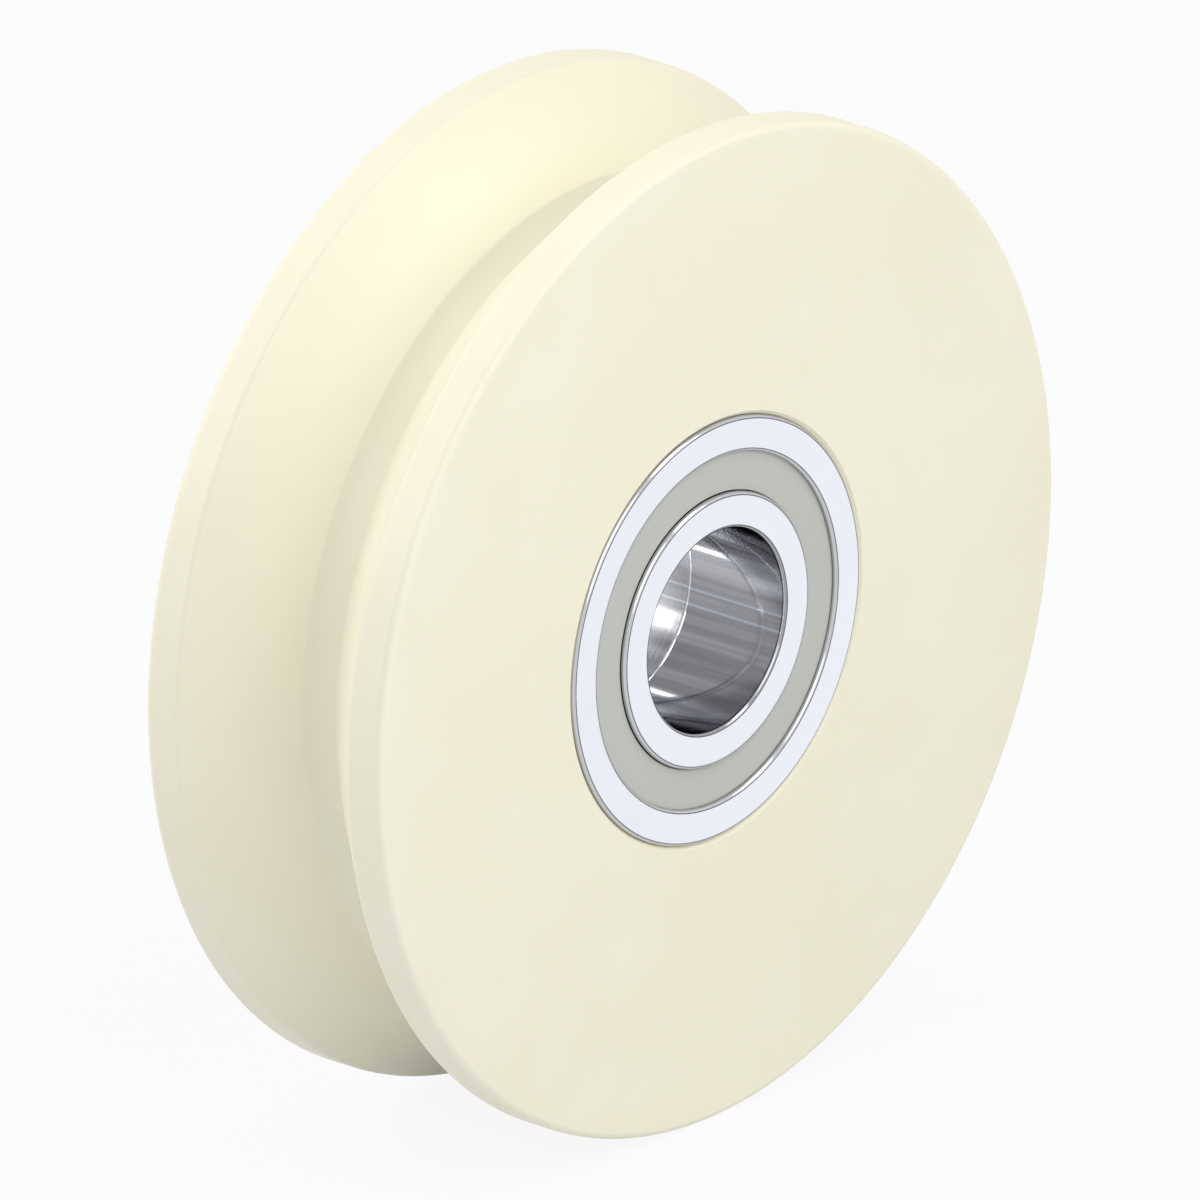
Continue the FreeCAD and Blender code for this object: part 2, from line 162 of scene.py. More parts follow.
class Finishes(bpy.types.PropertyGroup):
    """Colours of the pieces."""

    nylon: colour("Nylon", "The wheel, where it is thick", 0.903, 0.865, 0.668)
    # The pale colour gives the nylon's own random clouds, and on the rims' edges it is a painted highlight
    pale_clouds_and_edge_highlight: colour("Pale Nylon", "The wheel's lighter clouds and its edges", 0.928, 0.895, 0.712)
    ring_face: colour("Ring Face", "Ground faces of the rings", 0.91, 0.935, 1.0)
    # Painted shade and painted dark reflection on the rings' roundings: dark lines at their ends, a darker middle
    edge_painted_shade: colour("Edge Shade", "Thin lines where the rings' roundings start and end", 0.08, 0.08, 0.09)
    edge_light: colour("Edge Light", "Middle of the rings' roundings", 0.56, 0.565, 0.58)
    ring_end: colour("Ring End", "Inner faces of the rings, seen as a seam in the bore", 0.82, 0.825, 0.84)
    # Painted reflection: the bore's dark and light streaks; the light colour also tints the ring faces' random
    # blotches
    bore_painted_shade: colour("Bore Shade", "Darker streaks in the bore", 0.375, 0.38, 0.40)
    blotch_and_painted_bore_light: colour("Bore Light", "Lighter streaks in the bore", 0.67, 0.675, 0.70)
    seal: colour("Seal", "Moulded rubber", 0.55, 0.556, 0.51)
    ball: colour("Ball", "Polished balls", 0.78, 0.78, 0.80)
    cage: colour("Cage", "Pressed sheet and its rivets", 0.58, 0.57, 0.55)
    sleeve: colour("Sleeve", "Turned steel", 0.72, 0.72, 0.74)


class StageSettings(bpy.types.PropertyGroup):
    """The camera, the floor and the light of the room."""

    azimuth: angle("Azimuth", "Camera's direction round the wheel from straight in front", -50.0)
    elevation: angle("Elevation", "Camera's height above level", 22.06)
    picture_width: length("Picture Width", "What the camera takes in", 113.05 * MM)
    aim_right: length("Aim Right", "Picture's middle to the right of the wheel's", 0.05 * MM)
    aim_down: length("Aim Down", "Picture's middle below the wheel's", 0.58 * MM)
    floor: colour("Floor", "Pale floor", 0.74, 0.757, 0.81)
    floor_shade: share("Floor Shade", "How much of a shadow shows on the floor", 0.10)
    room_light: share("Room Light", "Even light from all round", 0.52)


# Finishes as node trees

class Value:
    """A number that changes over a surface: arithmetic on it adds Math nodes to its finish."""

    def __init__(self, finish, socket):
        self.finish = finish
        self.socket = socket

    def _math(self, operation, first, second):
        return self.finish.add("ShaderNodeMath", {"operation": operation}, {0: first, 1: second})

    def __add__(self, other):
        return self._math("ADD", self, other)

    __radd__ = __add__

    def __sub__(self, other):
        return self._math("SUBTRACT", self, other)

    def __rsub__(self, other):
        return self._math("SUBTRACT", other, self)

    def __mul__(self, other):
        return self._math("MULTIPLY", self, other)

    __rmul__ = __mul__

    def __pow__(self, other):
        return self._math("POWER", self, other)

    def __abs__(self):
        return self._math("ABSOLUTE", self, 0.0)

    def ramp(self, start, end):
        """Rises smoothly from 0 at start to 1 at end."""
        return self.finish.add("ShaderNodeMapRange", {"interpolation_type": "SMOOTHSTEP"},
                               {"Value": self, "From Min": start, "From Max": end})


class NodeWork:
    """A shader tree whose nodes are added one call at a time."""

    def __init__(self, tree):
        self.tree = tree

    def add(self, kind, settings=None, inputs=None, output=0):
        """Adds a node of a kind, with its settings first, then the values or links of its sockets."""
        node = self.tree.nodes.new(kind)
        for name, setting in (settings or {}).items():
            setattr(node, name, setting)
        for key, given in (inputs or {}).items():
            self.feed(self.socket_of(node, key), given)
        return Value(self, node.outputs[output])

    @staticmethod
    def socket_of(node, key):
        """A node's input by its number, identifier or name."""
        if isinstance(key, int):
            return node.inputs[key]
        found = [s for s in node.inputs if s.identifier == key] or [s for s in node.inputs if s.name == key]
        return found[0]

    def feed(self, socket, given):
        """Links a value to a socket, or sets a plain number, vector or colour on it."""
        if isinstance(given, Value):
            self.tree.links.new(given.socket, socket)
        elif socket.type == "RGBA":
            socket.default_value = (*given, 1.0)
        else:
            socket.default_value = given

    def found(self, kind):
        """The tree's own first node of a type."""
        return next(n for n in self.tree.nodes if n.type == kind)

    def show_white(self, surface, output, kind, amount):
        """Shows white in place of a surface to the camera, to mirrors and through glass."""
        seen = [self.add("ShaderNodeLightPath", output=ray)
                for ray in ("Is Camera Ray", "Is Glossy Ray", "Is Transmission Ray")]
        any_seen = self.add("ShaderNodeMath", {"operation": "MINIMUM"}, {0: seen[0] + seen[1] + seen[2], 1: 1.0})
        white = self.add(kind, inputs={"Color": (1.0, 1.0, 1.0), "Strength": 1.0})
        both = self.add("ShaderNodeMixShader",
                        inputs={0: any_seen * amount, 1: Value(self, surface.outputs[0]), 2: white})
        self.feed(output.inputs["Surface"], both)


# Painted reflections: light lines painted along the bore, where the bore reflects light
PAINTED_BORE_LINES = (-10.0, -18.5)     # degrees up from the bore's right side
PAINTED_LINE_HALF = 0.16 * MM      # half of a line's width


class Finish(NodeWork):
    """A material, with the places on its piece that its patterns follow."""

    def __init__(self, name):
        self.material = bpy.data.materials.new(name)
        self.material.use_nodes = True
        super().__init__(self.material.node_tree)
        self.shader = self.found("BSDF_PRINCIPLED")
        self.place = self.add("ShaderNodeTexCoord", output="Object")
        self.across, self.along, self.up = (
            self.add("ShaderNodeSeparateXYZ", inputs={"Vector": self.place}, output=axis) for axis in "XYZ")
        self.radius = (self.across * self.across + self.up * self.up) ** 0.5

    def surface(self, **given):
        """Sets the shader's sockets, named with low lines for spaces."""
        for name, value in given.items():
            self.feed(self.shader.inputs[name.replace("_", " ").title().replace("Ior", "IOR")], value)

    def vector(self, x, y, z):
        """A vector from three values."""
        return self.add("ShaderNodeCombineXYZ", inputs={"X": x, "Y": y, "Z": z})

    def noise(self, vector, scale, detail=2.0, roughness=0.5):
        """Soft random variation from 0 to 1."""
        return self.add("ShaderNodeTexNoise", {"noise_dimensions": "3D", "normalize": True},
                        {"Vector": vector, "Scale": scale, "Detail": detail, "Roughness": roughness})

    def mix(self, factor, first, second):
        """A colour between two."""
        return self.add("ShaderNodeMix", {"data_type": "RGBA"},
                        {"Factor_Float": factor, "A_Color": first, "B_Color": second}, output=2)

    def lathe_noise(self, along=1.0, **grain):
        """Soft variation that runs round the axle, as the marks of a lathe do."""
        return self.noise(self.vector(self.radius, self.along * along, 0.0), **grain)

    def drawn_noise(self, along, **grain):
        """Soft variation drawn out along the axle: the smaller along is, the longer the streaks."""
        return self.noise(self.vector(self.across, self.along * along, self.up), **grain)

    def bump(self, height, depth, strength):
        """A normal that follows a height."""
        return self.add("ShaderNodeBump", inputs={"Height": height, "Distance": depth, "Strength": strength})

    def painted_bore_streaks(self, finishes):
        """How light the painted reflection streaks along a bore are, and the bore's colour with them and its
        painted light lines.
        """
        fine = self.drawn_noise(0.035, scale=640.0, detail=5.0, roughness=0.62)
        broad = self.drawn_noise(0.02, scale=150.0, detail=3.0, roughness=0.55)
        light = (fine * 0.3 + broad * 0.7).ramp(0.34, 0.68)
        streaked = self.mix(light, finishes.bore_painted_shade, finishes.blotch_and_painted_bore_light)
        lines = sum(self.painted_reflection_line(degrees) for degrees in PAINTED_BORE_LINES)
        return light, self.mix(lines * (0.4 + 0.5 * fine), streaked, finishes.ring_face)

    def painted_reflection_line(self, degrees):
        """1 on a painted reflection, a bright line along a bore at an angle up from its right side, and 0 off it.
        """
        across, up = math.cos(math.radians(degrees)), math.sin(math.radians(degrees))
        off_line = abs(self.across * up - self.up * across)
        on_side = (self.across * across + self.up * up).ramp(0.0, 1.0 * MM)
        return (1 - off_line.ramp(0.4 * PAINTED_LINE_HALF, PAINTED_LINE_HALF)) * on_side


def shade(tint, amount):
    """A colour with its parts multiplied by an amount."""
    return tuple(amount * part for part in tint)


def cast_nylon(finishes, sizes):
    """Ivory cast nylon, turned all over: cloudy in its depth, with faint marks of the tool running round it."""
    finish = Finish("cast_nylon")
    clouds = finish.noise(finish.place, scale=38.0, detail=3.0, roughness=0.55)
    grain = finish.noise(finish.place, scale=900.0, roughness=0.6)
    feed_marks = finish.lathe_noise(scale=2600.0, detail=3.0, roughness=0.65)
    sweep = finish.lathe_noise(scale=190.0)
    to_face = abs(abs(finish.along) - sizes.half_width)
    # Painted highlight: the colour is made paler near the rims' edges, where the corners catch the light
    at_rim = finish.radius.ramp(sizes.radius - 1.2 * MM, sizes.radius - 0.1 * MM)
    painted_edge_highlight = at_rim * (1 - to_face.ramp(0.2 * MM, 1.0 * MM))
    pale = clouds.ramp(0.35, 0.70) * 0.7 + painted_edge_highlight * 0.5
    tint = finish.mix(pale, finishes.nylon, finishes.pale_clouds_and_edge_highlight)
    marks = feed_marks * 0.7 + grain * 0.3
    finish.surface(
        Base_Color=tint,
        Roughness=0.40 + 0.10 * sweep + 0.06 * feed_marks - 0.05 * painted_edge_highlight,
        IOR=1.53,
        Normal=finish.bump(marks, depth=0.008 * MM, strength=0.35),
    )
    return finish.material


def bearing_steel(finishes, sizes):
    """Hardened ring steel: ground faces with fine rings, roundings with painted dark reflection, painted reflection
    streaks in the bore.

    The depth below a ring's outer face tells its face, its rounding and its side apart. The rounding is darker than
    the face as a painted dark reflection, and darker still at the bore's mouth. A thin line of painted shade runs
    where the rounding leaves the face, and the side beyond the rounding is painted dark as shade.
    """
    finish = Finish("bearing_steel")
    lathe_rings = finish.lathe_noise(0.2, scale=5200.0, detail=3.0, roughness=0.7)
    blotches = finish.noise(finish.place, scale=150.0)
    streaks, painted_bore_tint = finish.painted_bore_streaks(finishes)
    below_face = sizes.face - abs(finish.along)
    on_face = 1 - below_face.ramp(0.001 * MM, 0.008 * MM)
    under_seal = below_face.ramp(sizes.seal_recess, 1.4 * sizes.seal_recess)
    at_mouth = 1 - finish.radius.ramp(sizes.bore + 0.9 * sizes.edge, sizes.bore + 1.1 * sizes.edge)
    # Painted shade: dark where the rounding leaves the face, and on the side beyond the rounding next to the seal
    painted_side_shade = below_face.ramp(sizes.edge, 1.3 * sizes.edge)
    rounding = below_face.ramp(0.016 * MM, 0.036 * MM) * (1 - painted_side_shade) * (1 - 0.45 * at_mouth)
    in_bore = 1 - finish.radius.ramp(sizes.bore + 0.01 * MM, sizes.bore + 0.10 * MM)
    face_tint = finish.mix(blotches * 0.10 + lathe_rings * 0.08, finishes.ring_face, finishes.blotch_and_painted_bore_light)
    edge_tint_with_painted_shade = finish.mix(rounding, finishes.edge_painted_shade, finishes.edge_light)
    side_tint = finish.mix(under_seal, edge_tint_with_painted_shade, finishes.ring_end)
    ring_tint = finish.mix(on_face, side_tint, face_tint)
    finish.surface(
        Base_Color=finish.mix(in_bore, ring_tint, painted_bore_tint),
        Metallic=1.0,
        Roughness=0.08 + on_face * (0.20 + 0.08 * lathe_rings) - in_bore * (0.02 - 0.03 * streaks),
        Normal=finish.bump(lathe_rings * on_face + streaks * in_bore * 0.2, depth=0.002 * MM, strength=0.25),
    )
    return finish.material


def moulded_rubber(finishes):
    """Matte warm grey rubber with the fine grain of its mould."""
    finish = Finish("moulded_rubber")
    grain = finish.noise(finish.place, scale=4200.0, roughness=0.6)
    clouds = finish.noise(finish.place, scale=120.0)
    flow = finish.lathe_noise(scale=900.0)
    darker = shade(finishes.seal, 0.93)
    finish.surface(
        Base_Color=finish.mix(clouds * 0.5 + grain * 0.3, finishes.seal, darker),
        Roughness=0.62 + 0.14 * grain + 0.06 * flow,
        Normal=finish.bump(grain * 0.6 + flow * 0.4, depth=0.006 * MM, strength=0.35),
    )
    return finish.material


def polished_steel(finishes):
    """Mirror-bright ball steel with a trace of lapping marks."""
    finish = Finish("polished_steel")
    lapping = finish.noise(finish.place, scale=2600.0, detail=4.0, roughness=0.7)
    clouds = finish.noise(finish.place, scale=500.0)
    duller = shade(finishes.ball, 0.9)
    finish.surface(
        Base_Color=finish.mix(clouds * 0.5, finishes.ball, duller),
        Metallic=1.0,
        Roughness=0.06 + 0.06 * lapping,
        Normal=finish.bump(lapping, depth=0.0006 * MM, strength=0.2),
    )
    return finish.material


def pressed_steel(finishes):
    """Thin cold-rolled sheet, pressed and tumbled: soft sheen, small scuffs."""
    finish = Finish("pressed_steel")
    rolled = finish.vector(finish.across, finish.along, finish.up * 0.1)
    rolling = finish.noise(rolled, scale=2200.0, detail=4.0, roughness=0.65)
    scuffs = finish.noise(finish.place, scale=1400.0, detail=5.0, roughness=0.75)
    duller = shade(finishes.cage, 0.72)
    finish.surface(
        Base_Color=finish.mix(scuffs.ramp(0.45, 0.75) * 0.6, finishes.cage, duller),
        Metallic=1.0,
        Roughness=0.30 + 0.16 * scuffs + 0.05 * rolling,
        Normal=finish.bump(rolling * 0.5 + scuffs * 0.5, depth=0.003 * MM, strength=0.3),
    )
    return finish.material


def turned_steel(finishes, sizes):
    """Steel tube turned outside, with feed marks that run round it, and painted reflection streaks in its bore."""
    finish = Finish("turned_steel")
    feed_marks = finish.lathe_noise(scale=5200.0, detail=3.0, roughness=0.6)
    clouds = finish.noise(finish.place, scale=260.0, detail=3.0, roughness=0.55)
    streaks, painted_bore_tint = finish.painted_bore_streaks(finishes)
    inside = sizes.bore + sizes.sleeve_gap
    in_bore = 1 - finish.radius.ramp(inside + 0.01 * MM, inside + 0.05 * MM)
    duller = shade(finishes.sleeve, 0.7)
    outside_tint = finish.mix(feed_marks * 0.4 + clouds * 0.4, finishes.sleeve, duller)
    finish.surface(
        Base_Color=finish.mix(in_bore, outside_tint, painted_bore_tint),
        Metallic=1.0,
        Roughness=0.20 + 0.14 * feed_marks - in_bore * (0.12 - 0.04 * streaks),
        Normal=finish.bump(feed_marks * (1 - in_bore) + streaks * in_bore * 0.4, depth=0.003 * MM, strength=0.3),
    )
    return finish.material


def made_once(name, maker, *given):
    """A material by its name, made at the first call."""
    return bpy.data.materials.get(name) or maker(*given)


# Turned pieces

STEPS_ROUND = 288           # round a turned piece
ARC_STEPS = 8               # along a rounding
EDGE_BREAK = 0.03 * MM      # radius on a corner that is drawn sharp
EDGE_STEPS = 3              # along such a break
SUPPORT = 0.05 * MM         # a point next to each rounding, which keeps the flat beside it flat
RACE_STEPS = 20             # along a raceway
WELD = 0.001 * MM           # points closer than this become one
QUARTER_TURN = math.radians(90)


def outline(corners):
    """Points round a section through corners of radius, place along the axle and rounding.

    A corner with no rounding gets a small break, and one whose rounding is None is a point of a curve.
    """
    points = []
    count = len(corners)
    for index, (radius, along, rounding) in enumerate(corners):
        corner = Vector((radius, along))
        if rounding is None:
            points.append(corner)
            continue
        back = (Vector(corners[index - 1][:2]) - corner).normalized()
        onward = (Vector(corners[(index + 1) % count][:2]) - corner).normalized()
        half_angle = back.angle(onward) / 2
        size, steps = (rounding, ARC_STEPS) if rounding else (EDGE_BREAK, EDGE_STEPS)
        reach = size / math.tan(half_angle)
        centre = corner + (back + onward).normalized() * (size / math.sin(half_angle))
        first, last = corner + back * reach - centre, corner + onward * reach - centre
        points.append(centre + first + back * SUPPORT)
        points += [centre + first.slerp(last, step / steps) * size for step in range(steps + 1)]
        points.append(centre + last + onward * SUPPORT)
    return points


def add_nodes(tree, *kinds):
    """Adds nodes of these kinds to a tree."""
    return [tree.nodes.new(kind) for kind in kinds]


def new_tree(name, inputs, output):
    """A geometry tree with named inputs of a socket type each and one named output."""
    tree = bpy.data.node_groups.new(name, "GeometryNodeTree")
    for socket_name, kind in inputs:
        tree.interface.new_socket(socket_name, in_out="INPUT", socket_type=kind)
    tree.interface.new_socket(output, in_out="OUTPUT", socket_type="NodeSocketGeometry")
    return tree


def link_chain(tree, first, *nodes):
    """Links a geometry through nodes, each by its first sockets."""
    for node in nodes:
        tree.links.new(first, node.inputs[0])
        first = node.outputs[0]
    return first


def turning_tree():
    """Turns a section, drawn as radius across and axle upwards, into a ring about Y."""
    found = bpy.data.node_groups.get("turned_ring")
    if found:
        return found
    tree = new_tree("turned_ring", [
        ("Section", "NodeSocketGeometry"),
        ("Steps Round", "NodeSocketInt"),
        ("Path Radius", "NodeSocketFloat"),
        ("Finish", "NodeSocketMaterial"),
    ], "Ring")
    given, out, to_curve, shift, shift_by, negative, path, sweep, weld, lay, smooth, realize, paint = add_nodes(
        tree, "NodeGroupInput", "NodeGroupOutput", "GeometryNodeMeshToCurve", "GeometryNodeTransform",
        "ShaderNodeCombineXYZ", "ShaderNodeMath", "GeometryNodeCurvePrimitiveCircle", "GeometryNodeCurveToMesh",
        "GeometryNodeMergeByDistance", "GeometryNodeTransform", "GeometryNodeSetShadeSmooth",
        "GeometryNodeRealizeInstances", "GeometryNodeSetMaterial")
    negative.operation = "MULTIPLY"
    negative.inputs[1].default_value = -1.0
    tree.links.new(given.outputs["Path Radius"], negative.inputs[0])
    tree.links.new(negative.outputs[0], shift_by.inputs["X"])
    tree.links.new(shift_by.outputs[0], shift.inputs["Translation"])
    tree.links.new(given.outputs["Steps Round"], path.inputs["Resolution"])
    tree.links.new(given.outputs["Path Radius"], path.inputs["Radius"])
    profile = link_chain(tree, given.outputs["Section"], to_curve, shift)
    tree.links.new(profile, sweep.inputs["Profile Curve"])
    weld.inputs["Distance"].default_value = WELD
    lay.inputs["Rotation"].default_value = (QUARTER_TURN, 0.0, 0.0)
    tree.links.new(given.outputs["Finish"], paint.inputs["Material"])
    ring = link_chain(tree, path.outputs["Curve"], sweep, weld, lay, smooth, realize, paint)
    tree.links.new(ring, out.inputs[0])
    return tree


def run_tree(piece, tree, **given):
    """Runs a tree on a piece with its named inputs, and keeps the result as the piece's plain mesh."""
    modifier = piece.modifiers.new(tree.name, "NODES")
    modifier.node_group = tree
    sockets = {item.name: item.identifier for item in tree.interface.items_tree if item.in_out == "INPUT"}
    for name, value in given.items():
        modifier[sockets[name.replace("_", " ")]] = value
    evaluated = piece.evaluated_get(bpy.context.evaluated_depsgraph_get())
    mesh = bpy.data.meshes.new_from_object(evaluated)
    piece.modifiers.remove(modifier)
    mesh.name = piece.name
    mesh.materials.clear()
    mesh.materials.append(given["Finish"])
    piece.data = mesh
    if not mesh.polygons:
        raise RuntimeError(f"{piece.name}: the tree made no faces")


def new_piece(name, points=(), closed=True):
    """A new object in the scene, whose mesh is a line through points."""
    mesh = bpy.data.meshes.new(name)
    order = list(range(len(points)))
    onward = order[1:] + order[:1] if closed else order[1:]
    mesh.from_pydata([(x, y, 0.0) for x, y in points], list(zip(order, onward)), [])
    piece = bpy.data.objects.new(name, mesh)
    bpy.context.scene.collection.objects.link(piece)
    return piece


def settle(piece, body, node):
    """Lets a finished piece ride on its body in place of a solid."""
    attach(piece, body)
    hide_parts(node)


def turned_piece(node, body, corners, material):
    """A ring turned from its section, in place of the solid of that name."""
    piece = new_piece(f"{node}_turned", outline(corners))
    run_tree(piece, turning_tree(), Steps_Round=STEPS_ROUND, Path_Radius=corners[0][0], Finish=material)
    settle(piece, body, node)


def raceway(centre, sizes, middle, shoulder, towards_rear):
    """Points along a raceway's arc between the two shoulders of a ring."""
    radius = sizes.ball + sizes.race_relief
    outward = 1 if shoulder > centre else -1
    reach = math.acos(abs(shoulder - centre) / radius)
    points = []
    for step in range(RACE_STEPS + 1):
        turn = reach * (2 * step / RACE_STEPS - 1) * (1 if towards_rear else -1)
        points.append((centre + outward * radius * math.cos(turn), middle + radius * math.sin(turn), None))
    return points


class PieceOperator:
    """What the operators of the pieces share."""

    bl_options = {"REGISTER", "UNDO"}


class FLANGEDWHEEL_OT_wheel(PieceOperator, bpy.types.Operator):
    """Turns the nylon wheel with its groove and its bearing seats"""

    bl_idname = "flangedwheel.wheel"
    bl_label = "Turn Wheel"

    def execute(self, context):
        sizes = context.scene.wheel_sizes
        half, radius, edge = sizes.half_width, sizes.radius, sizes.rim_edge
        land = half - sizes.rim_land
        bottom_half = sizes.groove_bottom / 2
        bottom = radius - (land - bottom_half) / math.tan(sizes.groove_angle / 2)
        step = half - sizes.seat_depth
        mouth, inner = sizes.seat_radius + sizes.seat_chamfer, half - sizes.seat_chamfer
        corners = [
            (radius, -half, edge), (radius, -land, edge),
            (bottom, -bottom_half, sizes.groove_corner), (bottom, bottom_half, sizes.groove_corner),
            (radius, land, edge), (radius, half, edge),
            (mouth, half, 0.0), (sizes.seat_radius, inner, 0.0),
            (sizes.seat_radius, step, 0.0), (sizes.shoulder_radius, step, 0.0),
            (sizes.shoulder_radius, -step, 0.0), (sizes.seat_radius, -step, 0.0),
            (sizes.seat_radius, -inner, 0.0), (mouth, -half, 0.0),
        ]
        material = made_once("cast_nylon", cast_nylon, context.scene.wheel_finishes, sizes)
        turned_piece("wheel_body", "wheel", corners, material)
        return {"FINISHED"}


class FLANGEDWHEEL_OT_rings(PieceOperator, bpy.types.Operator):
    """Turns the inner and outer rings of both bearings with their raceways"""

    bl_idname = "flangedwheel.rings"
    bl_label = "Turn Bearing Rings"

    def execute(self, context):
        sizes = context.scene.bearing_sizes
        material = made_once("bearing_steel", bearing_steel, context.scene.wheel_finishes, sizes)
        for side, sign in SIDES.items():
            self.inner_ring(side, sign * sizes.middle, sizes, material)
            self.outer_ring(side, sign * sizes.middle, sizes, material)
        return {"FINISHED"}

    def inner_ring(self, side, middle, sizes, material):
        """The ring on the axle."""
        half, edge, shoulder = sizes.width / 2, sizes.edge, sizes.inner_shoulder
        centre = sizes.pitch + sizes.race_relief - sizes.ball_clearance
        corners = [(sizes.bore, middle - half, edge), (shoulder, middle - half, edge)]
        corners += raceway(centre, sizes, middle, shoulder, towards_rear=True)
        corners += [(shoulder, middle + half, edge), (sizes.bore, middle + half, edge)]
        turned_piece(f"{side}_inner_ring", "axle_side", corners, material)

    def outer_ring(self, side, middle, sizes, material):
        """The ring in the wheel, with a groove for each seal."""
        half, edge, shoulder = sizes.width / 2, sizes.edge, sizes.outer_shoulder
        groove = shoulder + sizes.seal_bite
        near = half - sizes.seal_recess
        far = near - sizes.seal_thickness
        centre = sizes.pitch - sizes.race_relief + sizes.ball_clearance
        corners = [
            (shoulder, middle - half, edge), (sizes.outside, middle - half, edge),
            (sizes.outside, middle + half, edge), (shoulder, middle + half, edge),
            (shoulder, middle + near, 0.0), (groove, middle + near, 0.0),
            (groove, middle + far, 0.0), (shoulder, middle + far, 0.0),
            *raceway(centre, sizes, middle, shoulder, towards_rear=False),
            (shoulder, middle - far, 0.0), (groove, middle - far, 0.0),
            (groove, middle - near, 0.0), (shoulder, middle - near, 0.0),
        ]
        turned_piece(f"{side}_outer_ring", "wheel", corners, material)


class FLANGEDWHEEL_OT_seals(PieceOperator, bpy.types.Operator):
    """Moulds the seals on both sides of each bearing"""

    bl_idname = "flangedwheel.seals"
    bl_label = "Mould Seals"

    def execute(self, context):
        sizes = context.scene.bearing_sizes
        material = made_once("moulded_rubber", moulded_rubber, context.scene.wheel_finishes)
        lip = sizes.inner_shoulder + sizes.seal_lip_gap
        rim = sizes.outer_shoulder + sizes.seal_bite - sizes.seal_rim_gap
        for side, sign in SIDES.items():
            for which, outward in (("outer", sign), ("inner", -sign)):
                face = sign * sizes.middle + outward * (sizes.width / 2 - sizes.seal_recess)
                corners = [
                    (lip, face, 0.0), (rim, face, 0.0),
                    (rim, face - outward * sizes.seal_thickness, 0.0),
                    (sizes.pitch, face - outward * sizes.seal_thickness, 0.0),
                    (lip, face - outward * sizes.seal_lip, 0.0),
                ]
                if outward > 0:
                    corners.reverse()
                turned_piece(f"{side}_{which}_seal", "wheel", corners, material)
        return {"FINISHED"}


class FLANGEDWHEEL_OT_sleeve(PieceOperator, bpy.types.Operator):
    """Turns the sleeve between the two inner rings"""

    bl_idname = "flangedwheel.sleeve"
    bl_label = "Turn Sleeve"

    def execute(self, context):
        sizes = context.scene.bearing_sizes
        inside = sizes.bore + sizes.sleeve_gap
        outside = inside + sizes.sleeve_wall
        half, cut = sizes.spacing / 2, sizes.sleeve_chamfer
        corners = [
            (inside + cut, -half, 0.0), (outside - cut, -half, 0.0),
            (outside, cut - half, 0.0), (outside, half - cut, 0.0),
            (outside - cut, half, 0.0), (inside + cut, half, 0.0),
            (inside, half - cut, 0.0), (inside, cut - half, 0.0),
        ]
        material = made_once("turned_steel", turned_steel, context.scene.wheel_finishes, sizes)
        turned_piece("spacer_sleeve", "axle_side", corners, material)
        return {"FINISHED"}


# Balls, cages and rivets

BALL_SUBDIVISIONS = 5
RIVET_STEPS = 24            # round a rivet
RIVET_PATH = 1.0 * MM       # circle that a rivet's section is swept along


def ball_tree():
    """One ball at its place on the pitch circle."""
    found = bpy.data.node_groups.get("bearing_ball")
    if found:
        return found
    tree = new_tree("bearing_ball", [
        ("Radius", "NodeSocketFloat"),
        ("Place", "NodeSocketVector"),
        ("Finish", "NodeSocketMaterial"),
    ], "Ball")
    given, out, sphere, move, smooth, realize, paint = add_nodes(
        tree, "NodeGroupInput", "NodeGroupOutput", "GeometryNodeMeshIcoSphere", "GeometryNodeTransform",
        "GeometryNodeSetShadeSmooth", "GeometryNodeRealizeInstances", "GeometryNodeSetMaterial")
    sphere.inputs["Subdivisions"].default_value = BALL_SUBDIVISIONS
    tree.links.new(given.outputs["Radius"], sphere.inputs["Radius"])
    tree.links.new(given.outputs["Place"], move.inputs["Translation"])
    tree.links.new(given.outputs["Finish"], paint.inputs["Material"])
    ball = link_chain(tree, sphere.outputs["Mesh"], move, smooth, realize, paint)
    tree.links.new(ball, out.inputs[0])
    return tree


